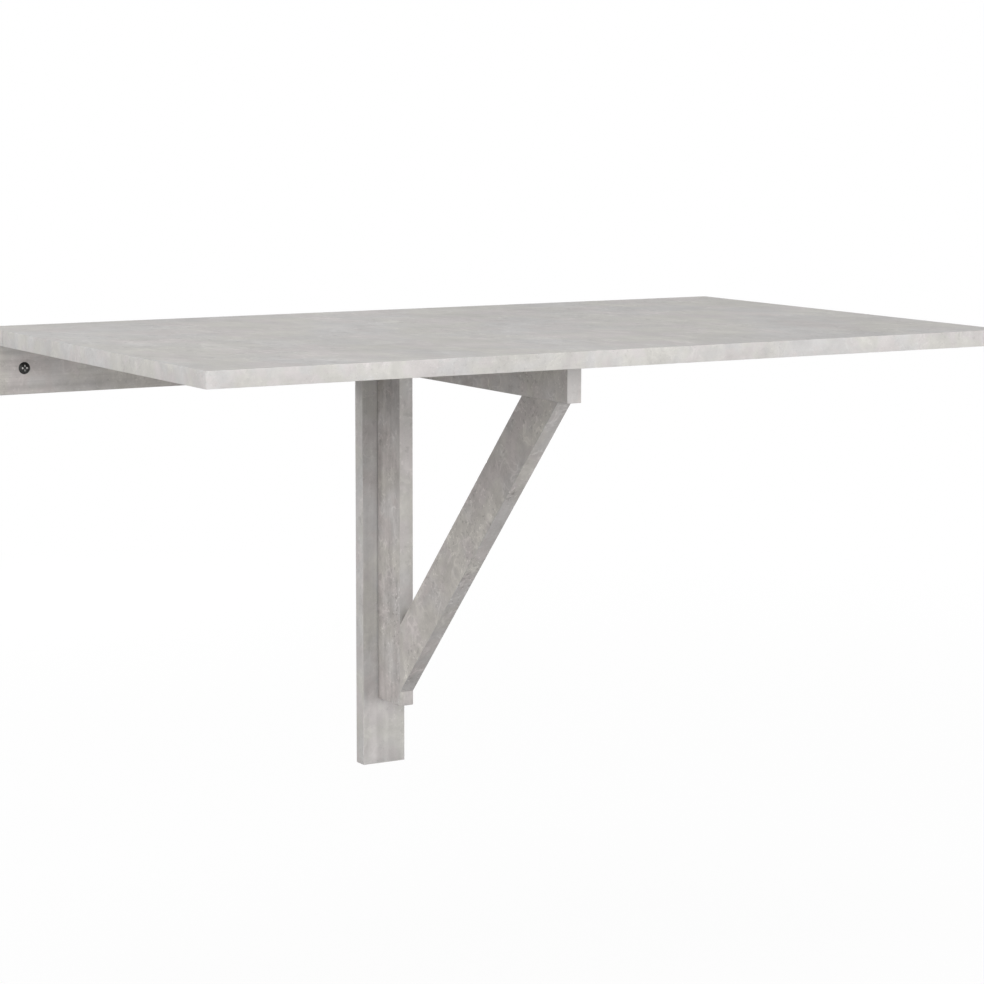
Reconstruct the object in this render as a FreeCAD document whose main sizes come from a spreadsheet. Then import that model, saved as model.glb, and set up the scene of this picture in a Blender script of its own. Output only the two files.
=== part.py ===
"""Wall mounted drop leaf table.

A rail and a shelf strip are fixed to the wall. The leaf is hinged to the strip's front edge, and
a gate of three battens, hinged to a post, swings out to carry it.

Frame: X runs along the wall, +Y points into the wall, +Z is up. The origin is on the wall, in the
middle of the line of wall screws. Lengths are in millimetres, angles in degrees.
"""
import FreeCAD, Part
import os
import Sketcher

from FreeCAD import Placement, Rotation, Vector

doc = FreeCAD.newDocument("drop_leaf_table")

# Driving sizes: alias, value and what it is
SIZES = [
    ("top_width", 1000, "top, along the wall"),
    ("top_depth", 600, "top, wall to front edge"),
    ("table_height", 560, "post's foot to the top's surface"),
    ("board", 18, "thickness of every board"),
    ("band", 0.8, "thickness of the edge bands"),
    ("strip_depth", 60, "shelf strip, wall to seam"),
    ("seam_gap", 1.5, "open seam between strip and leaf"),
    ("rail_height", 60, "wall rail"),
    ("post_width", 58, "post"),
    ("block_width", 32, "wall block behind the post's foot"),
    ("block_height", 60, "wall block"),
    ("block_rise", 12, "wall block above the post's foot"),
    ("gate_gap", 2.5, "gate's back edge to the post"),
    ("gate_top_clear", 1.0, "arm's top to the knuckles above it"),
    ("gate_reach", 439, "post's face to the arm's end"),
    ("stile_width", 56, "gate stile"),
    ("stile_height", 452.5, "gate stile"),
    ("arm_height", 45.5, "gate arm"),
    ("brace_width", 57, "gate brace, square to its length"),
    ("brace_setback", 19, "arm's end to the brace's outer edge"),
    ("brace_rise", 17.5, "stile's foot to the brace's outer edge"),
    ("hinge_length", 60, "butt hinge"),
    ("plate_width", 16.5, "hinge plate, pin to outer edge"),
    ("plate_thickness", 1.5, "hinge plate"),
    ("knuckle_radius", 2.75, "hinge knuckle"),
    ("knuckle_gap", 0.3, "end play between knuckles"),
    ("pin_radius", 1.5, "hinge pin"),
    ("pin_fit", 0.05, "radial clearance of the hinge pin"),
    ("pin_head_radius", 2.4, "hinge pin's flat head"),
    ("pin_head_height", 0.8, "hinge pin's flat head"),
    ("leaf_hinge_inset", 150, "leaf's end to the middle of the outer hinge"),
    ("gate_hinge_inset", 45, "stile's end to the nearer gate hinge"),
    ("screw_row", 10, "hinge pin to the row of screws"),
    ("screw_head_radius", 3.2, "hinge screw"),
    ("screw_radius", 1.6, "hinge screw"),
    ("screw_length", 14, "hinge screw"),
    ("screw_tip", 3, "hinge screw's point"),
    ("wall_screw_radius", 2.5, "wall screw, over its thread"),
    ("wall_neck_radius", 2.2, "wall screw's plain neck in the rail"),
    ("wall_screw_length", 50, "wall screw, under its head"),
    ("wall_screw_tip", 6, "wall screw's point"),
    ("wall_head_radius", 7, "wall screw's domed head"),
    ("wall_head_height", 3, "wall screw's domed head"),
    ("wall_screw_inset", 43, "rail's end to the first wall screw"),
    ("wall_screw_inner", 155, "post's middle to the next wall screw"),
    ("post_screw_head", 4, "head radius of the screws in the post"),
    ("post_screw_sink", 3, "head height of the screws in the post"),
    ("post_screw_radius", 2, "screws through the rail into the post"),
    ("post_screw_length", 32, "screws through the rail into the post"),
    ("post_screw_tip", 6, "point of the screws in the post"),
    ("post_screw_spread", 30, "screw to screw, up the rail"),
    ("recess_width", 1.2, "cross recess in a countersunk head"),
    ("recess_depth", 1.2, "cross recess in a countersunk head"),
    ("wall_recess_width", 2, "cross recess in the wall screw's head"),
    ("wall_recess_depth", 2, "cross recess in the wall screw's head"),
    ("point_radius", 0.3, "blunt end of every screw point"),
    ("drill_fit", 0.05, "radial clearance of a drilled hole"),
    ("dowel_radius", 4, "wooden dowel"),
    ("dowel_length", 30, "wooden dowel"),
    ("dowel_bevel", 0.8, "bevel at a dowel's ends"),
    ("dowel_bite", 12, "dowel in the underside of the strip"),
    ("dowel_inset", 60, "rail's end to the first dowel"),
    ("dowel_spread", 24, "dowel to dowel in the arm's end"),
    ("block_dowel_spread", 30, "dowel to dowel in the wall block"),
    ("glide_width", 12, "nylon glide on the arm"),
    ("glide_length", 24, "nylon glide on the arm"),
    ("glide_inset", 8, "arm's end to the glide"),
    ("glide_clear", 0.2, "glide's top to the leaf"),
    ("stem_radius", 3, "glide's stem in the arm"),
    ("stem_length", 12, "glide's stem in the arm"),
    ("overrun", 2, "how far a cut runs past a face"),
]

# Counts
RAIL_DOWELS = 6
KNUCKLES = 5
PLATE_SCREWS = 3

dims = doc.addObject("Spreadsheet::Sheet", "dims")
for row, (alias, value, words) in enumerate(SIZES, start=1):
    dims.set(f"A{row}", words)
    dims.set(f"B{row}", str(value))
    dims.setAlias(f"B{row}", alias)
doc.recompute()

# Places that several pieces share, as expressions on the sheet
LEFT = "(-dims.top_width / 2)"
RIGHT = "(dims.top_width / 2)"
WALL = "0"
UNDERSIDE = "(dims.rail_height / 2)"
SURFACE = f"({UNDERSIDE} + dims.board)"
FOOT = f"({SURFACE} - dims.table_height)"
RAIL_FACE = "(-dims.board)"
POST_FACE = "(-2 * dims.board)"
SEAM_BACK = "(-dims.strip_depth)"
SEAM_FRONT = f"({SEAM_BACK} - dims.seam_gap)"
LEAF_FRONT = "(-dims.top_depth)"
GATE_LEFT = "(-dims.board / 2)"
GATE_RIGHT = "(dims.board / 2)"
GATE_BACK = f"({POST_FACE} - dims.gate_gap)"
STILE_FRONT = f"({GATE_BACK} - dims.stile_width)"
ARM_END = f"({POST_FACE} - dims.gate_reach)"
ARM_TOP = f"({UNDERSIDE} - 2 * dims.knuckle_radius - dims.gate_top_clear)"
ARM_BOTTOM = f"({ARM_TOP} - dims.arm_height)"
STILE_FOOT = f"({ARM_TOP} - dims.stile_height)"

# The leaf turns about X under the seam, the gate about Z beside its back edge
LEAF_AXIS_Y = f"({SEAM_BACK} - dims.seam_gap / 2)"
LEAF_AXIS_Z = f"({UNDERSIDE} - dims.knuckle_radius)"
GATE_AXIS_X = f"({GATE_RIGHT} + dims.knuckle_radius)"
GATE_AXIS_Y = f"({POST_FACE} - dims.knuckle_radius)"

# The brace's outer edge runs from the arm's underside to the stile's front
BRACE_HEAD = f"({ARM_END} + dims.brace_setback)"
BRACE_FOOT = f"({STILE_FOOT} + dims.brace_rise)"
BRACE_RUN = f"({STILE_FRONT} - {BRACE_HEAD})"
BRACE_CLIMB = f"({ARM_BOTTOM} - {BRACE_FOOT})"
BRACE_SPAN = f"sqrt({BRACE_RUN}^2 + {BRACE_CLIMB}^2)"

# Turns that point a fastener's tip, which is modelled downwards, and a dowel's length
TIP_TO_WALL = Rotation(Vector(1, 0, 0), 90)
TIP_TO_ROOM = Rotation(Vector(1, 0, 0), -90)
UPRIGHT = Rotation()

nodes = []


def node(label, piece):
    """Name a finished sub-part and keep it for the export."""
    piece.Label = label
    nodes.append(piece)
    return piece


def number(text):
    """The value of an expression on the sheet."""
    return float(dims.evalExpression(text))


def spot(x, y, z, turn):
    """A placement at three expressions."""
    return Placement(Vector(number(x), number(y), number(z)), turn)


def box(name, x, y, z):
    """A block between a low and a high place along each axis."""
    block = doc.addObject("Part::Box", name)
    for side, letter, (low, high) in zip(("Length", "Width", "Height"), "xyz", (x, y, z)):
        block.setExpression(side, f"({high}) - ({low})")
        block.setExpression(f".Placement.Base.{letter}", low)
    return block


def rod(name, radius, low, high):
    """A round bar along Z between two heights."""
    bar = doc.addObject("Part::Cylinder", name)
    bar.setExpression("Radius", radius)
    bar.setExpression("Height", f"({high}) - ({low})")
    bar.setExpression(".Placement.Base.z", low)
    return bar


def cone(name, low_radius, high_radius, low, high):
    """A round taper along Z between two heights."""
    taper = doc.addObject("Part::Cone", name)
    taper.setExpression("Radius1", low_radius)
    taper.setExpression("Radius2", high_radius)
    taper.setExpression("Height", f"({high}) - ({low})")
    taper.setExpression(".Placement.Base.z", low)
    return taper


def join(name, pieces):
    """Several shapes as one."""
    fused = doc.addObject("Part::MultiFuse", name)
    fused.Shapes = pieces
    return fused


def cut(name, base, tool):
    """A shape with another taken out of it."""
    rest = doc.addObject("Part::Cut", name)
    rest.Base = base
    rest.Tool = tool
    return rest


def copies(name, master, spots):
    """One fastener repeated at several places, as a group of separate solids."""
    doc.recompute()
    solids = []
    for place in spots:
        solid = master.Shape.copy()
        solid.Placement = place * solid.Placement
        solids.append(solid)
    group = doc.addObject("Part::Feature", name)
    group.Shape = Part.makeCompound(solids)
    return group


def cross_recess(name, top, width, depth):
    """Two crossing slots, open at the head's top, for a screwdriver."""
    across = (f"-2 * {width}", f"2 * {width}")
    narrow = (f"-{width} / 2", f"{width} / 2")
    deep = (f"{top} - {depth}", f"{top} + dims.overrun")
    return join(name, [box(f"{name}_a", across, narrow, deep), box(f"{name}_b", narrow, across, deep)])


def screw_shape(name, head, sink, shank, length, tip, fit):
    """A countersunk screw: head's top at height 0, point downwards, grown all round by fit."""
    parts = [
        cone(f"{name}_head", f"{shank} + {fit}", f"{head} + {fit}", f"-({sink})", "0"),
        rod(f"{name}_shank", f"{shank} + {fit}", f"{tip} - {length}", f"-({sink})"),
        cone(f"{name}_tip", f"dims.point_radius + {fit}", f"{shank} + {fit}",
             f"-({length}) - {fit}", f"{tip} - {length}"),
    ]
    return parts


def countersunk_screw(name, head, sink, shank, length, tip):
    """The screw with its cross recess."""
    whole = join(f"{name}_blank", screw_shape(f"{name}_blank", head, sink, shank, length, tip, "0"))
    recess = cross_recess(f"{name}_recess", "0", "dims.recess_width", "dims.recess_depth")
    return cut(name, whole, recess)


def countersunk_hole(name, head, sink, shank, length, tip):
    """The room for that screw, open above its head."""
    parts = screw_shape(name, head, sink, shank, length, tip, "dims.drill_fit")
    parts.append(rod(f"{name}_mouth", f"{head} + dims.drill_fit", "0", "dims.overrun"))
    return join(name, parts)


# Fasteners, each modelled once at the origin
HINGE_SCREW = ("dims.screw_head_radius", "dims.plate_thickness", "dims.screw_radius",
               "dims.screw_length", "dims.screw_tip")
POST_SCREW = ("dims.post_screw_head", "dims.post_screw_sink", "dims.post_screw_radius",
              "dims.post_screw_length", "dims.post_screw_tip")
hinge_screw = countersunk_screw("hinge_screw", *HINGE_SCREW)
hinge_screw_hole = countersunk_hole("hinge_screw_hole", *HINGE_SCREW)
post_screw = countersunk_screw("post_screw", *POST_SCREW)
post_screw_hole = countersunk_hole("post_screw_hole", *POST_SCREW)


def domed_screw(name):
    """The wall screw: a low dome on the rail's face, a plain neck in the rail, thread in the wall."""
    dome_radius = "((dims.wall_head_radius^2 + dims.wall_head_height^2) / (2 * dims.wall_head_height))"
    dome = doc.addObject("Part::Sphere", f"{name}_dome")
    dome.setExpression("Radius", dome_radius)
    dome.setExpression("Angle1", f"asin(1 - dims.wall_head_height / {dome_radius})")
    dome.setExpression(".Placement.Base.z", f"dims.wall_head_height - {dome_radius}")
    neck = rod(f"{name}_neck", "dims.wall_neck_radius", "-dims.board", "0")
    shank = rod(f"{name}_shank", "dims.wall_screw_radius",
                "dims.wall_screw_tip - dims.wall_screw_length", "-dims.board")
    point = cone(f"{name}_point", "dims.point_radius", "dims.wall_screw_radius",
                 "-dims.wall_screw_length", "dims.wall_screw_tip - dims.wall_screw_length")
    whole = join(f"{name}_blank", [dome, neck, shank, point])
    recess = cross_recess(f"{name}_recess", "dims.wall_head_height",
                          "dims.wall_recess_width", "dims.wall_recess_depth")
    return cut(name, whole, recess)


wall_screw = domed_screw("wall_screw")
wall_screw_hole = rod("wall_screw_hole", "dims.wall_screw_radius + dims.drill_fit",
                      "-dims.board - dims.overrun", "dims.overrun")

DOWEL_END = "dims.dowel_radius - dims.dowel_bevel"
dowel = join("dowel", [
    cone("dowel_low", DOWEL_END, "dims.dowel_radius", "0", "dims.dowel_bevel"),
    rod("dowel_middle", "dims.dowel_radius", "dims.dowel_bevel", "dims.dowel_length - dims.dowel_bevel"),
    cone("dowel_high", "dims.dowel_radius", DOWEL_END,
         "dims.dowel_length - dims.dowel_bevel", "dims.dowel_length"),
])
dowel_hole = rod("dowel_hole", "dims.dowel_radius + dims.drill_fit",
                 "-dims.dowel_bevel", "dims.dowel_length + dims.dowel_bevel")


def hinge_plate(label, side, own, x, y, z, turn):
    """One plate of a butt hinge, with its share of the knuckles, and the places of its screws.

    In its own frame the pin runs up Z and the plate lies along +X. It is screwed to wood at
    +Y where side is 1 and at -Y where it is -1.
    """
    wood = ("dims.knuckle_radius - dims.plate_thickness", "dims.knuckle_radius")
    if side < 0:
        wood = ("-dims.knuckle_radius", "dims.plate_thickness - dims.knuckle_radius")
    flat = box(f"{label}_flat", ("0", "dims.plate_width"), wood, ("0", "dims.hinge_length"))
    barrel = rod(f"{label}_barrel", "dims.knuckle_radius", "0", "dims.hinge_length")
    tools = [rod(f"{label}_eye", "dims.pin_radius + dims.pin_fit",
                 "-dims.overrun", "dims.hinge_length + dims.overrun")]
    reach = "dims.knuckle_radius + dims.knuckle_gap"
    for knuckle in range(KNUCKLES):
        if knuckle in own:
            continue
        low = f"{knuckle / KNUCKLES} * dims.hinge_length - dims.knuckle_gap / 2"
        high = f"{(knuckle + 1) / KNUCKLES} * dims.hinge_length + dims.knuckle_gap / 2"
        tools.append(box(f"{label}_notch_{knuckle}", (f"-({reach})", reach),
                         (f"-({reach})", reach), (low, high)))
    knuckled = cut(f"{label}_knuckled", join(f"{label}_blank", [flat, barrel]),
                   join(f"{label}_notches", tools))
    tip = TIP_TO_WALL if side > 0 else TIP_TO_ROOM
    face = f"{side} * (dims.knuckle_radius - dims.plate_thickness)"
    heights = [f"{(2 * i + 1) / (2 * PLATE_SCREWS)} * dims.hinge_length" for i in range(PLATE_SCREWS)]
    local = [spot("dims.screw_row", face, height, tip) for height in heights]
    plate = cut(label, knuckled, copies(f"{label}_holes", hinge_screw_hole, local))
    plate.Placement = Placement(Vector(), turn)
    for letter, text in zip("xyz", (x, y, z)):
        plate.setExpression(f".Placement.Base.{letter}", text)
    node(label, plate)
    return [spot(x, y, z, turn) * place for place in local]


def hinge_pin(label, x, y, z, turn):
    """A pin with a flat head at each end of the knuckles."""
    low = "-dims.pin_head_height"
    high = "dims.hinge_length + dims.pin_head_height"
    pin = join(label, [
        rod(f"{label}_bar", "dims.pin_radius", low, high),
        rod(f"{label}_low", "dims.pin_head_radius", low, "0"),
        rod(f"{label}_high", "dims.pin_head_radius", "dims.hinge_length", high),
    ])
    pin.Placement = Placement(Vector(), turn)
    for letter, text in zip("xyz", (x, y, z)):
        pin.setExpression(f".Placement.Base.{letter}", text)
    node(label, pin)


OUTER_KNUCKLES = range(0, KNUCKLES, 2)
INNER_KNUCKLES = range(1, KNUCKLES, 2)

# Leaf hinges: pin along X under the seam, one plate under the strip and one under the leaf
PIN_ALONG_X = Rotation(Vector(0, 1, 0), Vector(0, 0, 1), Vector(1, 0, 0), "ZXY")
FLAT_OPEN = PIN_ALONG_X * Rotation(Vector(0, 0, 1), 180)
strip_screw_spots = []
leaf_screw_spots = []
for side_name, step in (("left", -1), ("centre", 0), ("right", 1)):
    start = f"({step} * (dims.top_width / 2 - dims.leaf_hinge_inset) - dims.hinge_length / 2)"
    axis = (start, LEAF_AXIS_Y, LEAF_AXIS_Z)
    name = f"leaf_hinge_{side_name}"
    strip_screw_spots += hinge_plate(f"{name}_strip_plate", 1, OUTER_KNUCKLES, *axis, PIN_ALONG_X)
    leaf_screw_spots += hinge_plate(f"{name}_leaf_plate", -1, INNER_KNUCKLES, *axis, FLAT_OPEN)
    hinge_pin(f"{name}_pin", *axis, PIN_ALONG_X)

# Gate hinges: pin upright in the corner of post and stile, on the gate's right
SQUARE_OPEN = Rotation(Vector(0, 0, 1), -90)
UPPER_HINGE = f"({ARM_TOP} - dims.gate_hinge_inset - dims.hinge_length)"
LOWER_HINGE = f"({STILE_FOOT} + dims.gate_hinge_inset)"
post_screw_spots = []
gate_screw_spots = []
for side_name, start in (("upper", UPPER_HINGE), ("lower", LOWER_HINGE)):
    axis = (GATE_AXIS_X, GATE_AXIS_Y, start)
    name = f"gate_hinge_{side_name}"
    post_screw_spots += hinge_plate(f"{name}_post_plate", 1, OUTER_KNUCKLES, *axis, UPRIGHT)
    gate_screw_spots += hinge_plate(f"{name}_gate_plate", -1, INNER_KNUCKLES, *axis, SQUARE_OPEN)
    hinge_pin(f"{name}_pin", *axis, UPRIGHT)

# Screws of the hinges
node("strip_hinge_screws", copies("strip_hinge_screws", hinge_screw, strip_screw_spots))
node("leaf_hinge_screws", copies("leaf_hinge_screws", hinge_screw, leaf_screw_spots))
node("post_hinge_screws", copies("post_hinge_screws", hinge_screw, post_screw_spots))
node("gate_hinge_screws", copies("gate_hinge_screws", hinge_screw, gate_screw_spots))

# Wall screws in the rail, heads on its face
wall_spots = []
for sign in (-1, 1):
    for distance in ("(dims.top_width / 2 - dims.wall_screw_inset)", "dims.wall_screw_inner"):
        wall_spots.append(spot(f"{sign} * {distance}", RAIL_FACE, "0", TIP_TO_WALL))
node("wall_screws", copies("wall_screws", wall_screw, wall_spots))

# Screws that hold the post, sunk in the rail's back
post_spots = []
for sign in (-1, 1):
    post_spots.append(spot("0", WALL, f"{sign} * dims.post_screw_spread / 2", TIP_TO_ROOM))
node("post_screws", copies("post_screws", post_screw, post_spots))

# Dowels of the frame: strip on rail, block on post
DOWEL_ROW = "(dims.top_width - 2 * dims.dowel_inset)"
frame_dowel_spots = []
for i in range(RAIL_DOWELS):
    along = f"({LEFT} + dims.dowel_inset + {i / (RAIL_DOWELS - 1)} * {DOWEL_ROW})"
    frame_dowel_spots.append(
        spot(along, "-dims.board / 2", f"{UNDERSIDE} + dims.dowel_bite - dims.dowel_length", UPRIGHT))
BLOCK_LOW = f"({FOOT} + dims.block_rise)"
BLOCK_HIGH = f"({BLOCK_LOW} + dims.block_height)"
for sign in (-1, 1):
    height = f"({BLOCK_LOW} + {BLOCK_HIGH} + {sign} * dims.block_dowel_spread) / 2"
    frame_dowel_spots.append(spot("0", f"{RAIL_FACE} - dims.dowel_length / 2", height, TIP_TO_ROOM))
node("frame_dowels", copies("frame_dowels", dowel, frame_dowel_spots))

# Dowels of the gate: arm in stile, brace in arm, brace in stile
gate_dowel_spots = []
for sign, share in ((-1, 1 / 3), (1, 2 / 3)):
    arm_height = f"({ARM_TOP} + {ARM_BOTTOM} + {sign} * dims.dowel_spread) / 2"
    head = f"{BRACE_HEAD} + {share} * dims.brace_width * {BRACE_SPAN} / {BRACE_CLIMB}"
    foot = f"{BRACE_FOOT} + {share} * dims.brace_width * {BRACE_SPAN} / {BRACE_RUN}"
    into_stile = f"{STILE_FRONT} - dims.dowel_length / 2"
    gate_dowel_spots += [
        spot("0", into_stile, arm_height, TIP_TO_ROOM),
        spot("0", head, f"{ARM_BOTTOM} - dims.dowel_length / 2", UPRIGHT),
        spot("0", into_stile, foot, TIP_TO_ROOM),
    ]
node("gate_dowels", copies("gate_dowels", dowel, gate_dowel_spots))

# Glide on the arm's outer end: a pad under the leaf with a stem in the arm
GLIDE_LOW = f"({ARM_END} + dims.glide_inset)"
GLIDE_MIDDLE = f"({GLIDE_LOW} + dims.glide_length / 2)"
glide_pad = box("glide_pad", ("-dims.glide_width / 2", "dims.glide_width / 2"),
                (GLIDE_LOW, f"{GLIDE_LOW} + dims.glide_length"),
                (ARM_TOP, f"{UNDERSIDE} - dims.glide_clear"))
glide_stem = rod("glide_stem", "dims.stem_radius", f"{ARM_TOP} - dims.stem_length", ARM_TOP)
glide_stem.setExpression(".Placement.Base.y", GLIDE_MIDDLE)
node("arm_glide", join("arm_glide", [glide_pad, glide_stem]))
glide_hole = rod("glide_hole", "dims.stem_radius + dims.drill_fit",
                 f"{ARM_TOP} - dims.stem_length - dims.drill_fit", f"{ARM_TOP} + dims.overrun")
glide_hole.setExpression(".Placement.Base.y", GLIDE_MIDDLE)

# What is drilled in the boards of the frame, the leaf and the gate
frame_holes = doc.addObject("Part::Compound", "frame_holes")
frame_holes.Links = [
    copies("strip_hinge_holes", hinge_screw_hole, strip_screw_spots),
    copies("post_hinge_holes", hinge_screw_hole, post_screw_spots),
    copies("wall_holes", wall_screw_hole, wall_spots),
    copies("post_holes", post_screw_hole, post_spots),
    copies("frame_dowel_holes", dowel_hole, frame_dowel_spots),
]
leaf_holes = copies("leaf_holes", hinge_screw_hole, leaf_screw_spots)
gate_holes = doc.addObject("Part::Compound", "gate_holes")
gate_holes.Links = [
    copies("gate_hinge_holes", hinge_screw_hole, gate_screw_spots),
    copies("gate_dowel_holes", dowel_hole, gate_dowel_spots),
    glide_hole,
]


def banded_board(label, band_label, spans, faces, holes, bare=None):
    """A board with bands glued round its edges, and the drilled holes in both.

    spans gives a low and a high place for x, y and z. faces is the letter across the board's
    thickness, and bare names the letter whose high edge is butted to wood and has no band.
    """
    inner = {}
    through = {}
    for letter, (low, high) in spans.items():
        if letter == faces:
            inner[letter] = (low, high)
            through[letter] = (f"{low} - dims.overrun", f"{high} + dims.overrun")
        elif letter == bare:
            inner[letter] = (f"{low} + dims.band", high)
            through[letter] = (f"{low} + dims.band", f"{high} + dims.overrun")
        else:
            inner[letter] = (f"{low} + dims.band", f"{high} - dims.band")
            through[letter] = inner[letter]
    core = box(f"{label}_core", inner["x"], inner["y"], inner["z"])
    outer = box(f"{band_label}_outer", spans["x"], spans["y"], spans["z"])
    room = box(f"{band_label}_room", through["x"], through["y"], through["z"])
    node(label, cut(label, core, holes))
    ring = cut(f"{band_label}_ring", outer, room)
    node(band_label, cut(band_label, ring, holes))


banded_board("wall_rail", "rail_edge_band", {
    "x": (LEFT, RIGHT),
    "y": (RAIL_FACE, WALL),
    "z": (f"-{UNDERSIDE}", UNDERSIDE),
}, "y", frame_holes)
banded_board("shelf_strip", "strip_edge_band", {
    "x": (LEFT, RIGHT),
    "y": (SEAM_BACK, WALL),
    "z": (UNDERSIDE, SURFACE),
}, "z", frame_holes)
banded_board("post", "post_edge_band", {
    "x": ("-dims.post_width / 2", "dims.post_width / 2"),
    "y": (POST_FACE, RAIL_FACE),
    "z": (FOOT, UNDERSIDE),
}, "y", frame_holes)
banded_board("leaf", "leaf_edge_band", {
    "x": (LEFT, RIGHT),
    "y": (LEAF_FRONT, SEAM_FRONT),
    "z": (UNDERSIDE, SURFACE),
}, "z", leaf_holes)
banded_board("gate_stile", "stile_edge_band", {
    "x": (GATE_LEFT, GATE_RIGHT),
    "y": (STILE_FRONT, GATE_BACK),
    "z": (STILE_FOOT, ARM_TOP),
}, "x", gate_holes)
banded_board("gate_arm", "arm_edge_band", {
    "x": (GATE_LEFT, GATE_RIGHT),
    "y": (ARM_END, STILE_FRONT),
    "z": (ARM_BOTTOM, ARM_TOP),
}, "x", gate_holes, bare="y")

# Block between the post's foot and the wall
block_core = box("block_core", ("-dims.block_width / 2", "dims.block_width / 2"),
                 (RAIL_FACE, WALL), (BLOCK_LOW, BLOCK_HIGH))
node("wall_block", cut("wall_block", block_core, frame_holes))


def slanted_strip(name, near, far):
    """A lengthwise strip of the brace, between two distances from its outer edge.

    Its ends are cut to lie flat under the arm and flat on the stile's front.
    """
    body = doc.addObject("PartDesign::Body", name)
    sketch = body.newObject("Sketcher::SketchObject", f"{name}_outline")
    side_plane = [plane for plane in body.Origin.OriginFeatures if plane.Role == "YZ_Plane"][0]
    sketch.AttachmentSupport = (side_plane, [""])
    sketch.MapMode = "FlatFace"
    corners = []
    for distance in (near, far):
        head = f"{BRACE_HEAD} + {distance} * {BRACE_SPAN} / {BRACE_CLIMB}"
        foot = f"{BRACE_FOOT} + {distance} * {BRACE_SPAN} / {BRACE_RUN}"
        pair = [(head, ARM_BOTTOM), (STILE_FRONT, foot)]
        corners += pair if distance == near else pair[::-1]
    points = [Vector(number(y), number(z), 0) for y, z in corners]
    for i, point in enumerate(points):
        sketch.addGeometry(Part.LineSegment(point, points[(i + 1) % len(points)]), False)
    for i, (y, z) in enumerate(corners):
        sketch.addConstraint(Sketcher.Constraint("Coincident", i, 2, (i + 1) % len(points), 1))
        for kind, text in (("DistanceX", y), ("DistanceY", z)):
            place = sketch.addConstraint(Sketcher.Constraint(kind, -1, 1, i, 1, number(text)))
            sketch.setExpression(f"Constraints[{place}]", text)
    pad = body.newObject("PartDesign::Pad", f"{name}_pad")
    pad.Profile = sketch
    pad.setExpression("Length", "dims.board")
    pad.Midplane = True
    return body


FAR_BAND = "(dims.brace_width - dims.band)"
node("gate_brace", cut("gate_brace", slanted_strip("brace_core", "dims.band", FAR_BAND), gate_holes))
brace_bands = doc.addObject("Part::Compound", "brace_edge_bands")
brace_bands.Links = [
    slanted_strip("brace_band_outer", "0", "dims.band"),
    slanted_strip("brace_band_inner", FAR_BAND, "dims.brace_width"),
]
node("brace_edge_bands", brace_bands)

doc.recompute()
for thing in doc.Objects:
    if "Invalid" in thing.State or "Error" in thing.State:
        raise RuntimeError(f"{thing.Name} failed to build")
for piece in nodes:
    if piece.Shape.isNull() or not piece.Shape.isValid() or not piece.Shape.Solids:
        raise RuntimeError(f"{piece.Label} has no sound shape")

os.makedirs("parts", exist_ok=True)
for piece in nodes:
    piece.Shape.exportStep(f"parts/{piece.Label}.step")
    print(f"{piece.Label}: {len(piece.Shape.Solids)} solid(s), {piece.Shape.Volume:.1f} mm3")
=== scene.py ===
from math import cos, pi, radians, sin

import bpy
import numpy as np
from mathutils import Matrix, Vector


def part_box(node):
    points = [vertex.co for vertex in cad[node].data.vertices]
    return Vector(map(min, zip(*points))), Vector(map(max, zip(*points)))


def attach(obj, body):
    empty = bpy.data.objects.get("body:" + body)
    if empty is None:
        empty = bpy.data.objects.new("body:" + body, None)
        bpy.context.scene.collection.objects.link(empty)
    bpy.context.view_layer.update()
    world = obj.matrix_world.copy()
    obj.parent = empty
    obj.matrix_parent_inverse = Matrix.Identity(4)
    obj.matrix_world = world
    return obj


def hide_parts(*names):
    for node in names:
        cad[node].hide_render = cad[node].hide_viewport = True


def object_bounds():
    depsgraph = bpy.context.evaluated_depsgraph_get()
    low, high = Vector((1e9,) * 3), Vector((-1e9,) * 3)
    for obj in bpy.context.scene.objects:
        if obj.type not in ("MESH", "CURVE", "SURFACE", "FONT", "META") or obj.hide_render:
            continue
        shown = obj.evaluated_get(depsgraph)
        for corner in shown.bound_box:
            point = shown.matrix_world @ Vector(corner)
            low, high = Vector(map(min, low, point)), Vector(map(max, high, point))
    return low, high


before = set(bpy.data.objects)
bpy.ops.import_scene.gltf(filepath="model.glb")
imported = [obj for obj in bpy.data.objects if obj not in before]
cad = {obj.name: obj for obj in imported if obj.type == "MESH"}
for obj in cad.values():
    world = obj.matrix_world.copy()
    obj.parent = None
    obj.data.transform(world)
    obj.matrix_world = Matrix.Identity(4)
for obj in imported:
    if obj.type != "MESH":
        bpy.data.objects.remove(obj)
cad_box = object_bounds()
scene = bpy.context.scene

# Wall rail: a batten of 18 mm particle board with printed concrete-effect paper on both faces,
# under a matt wear layer. It lies flat on the wall and carries the rest of the table.


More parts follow.
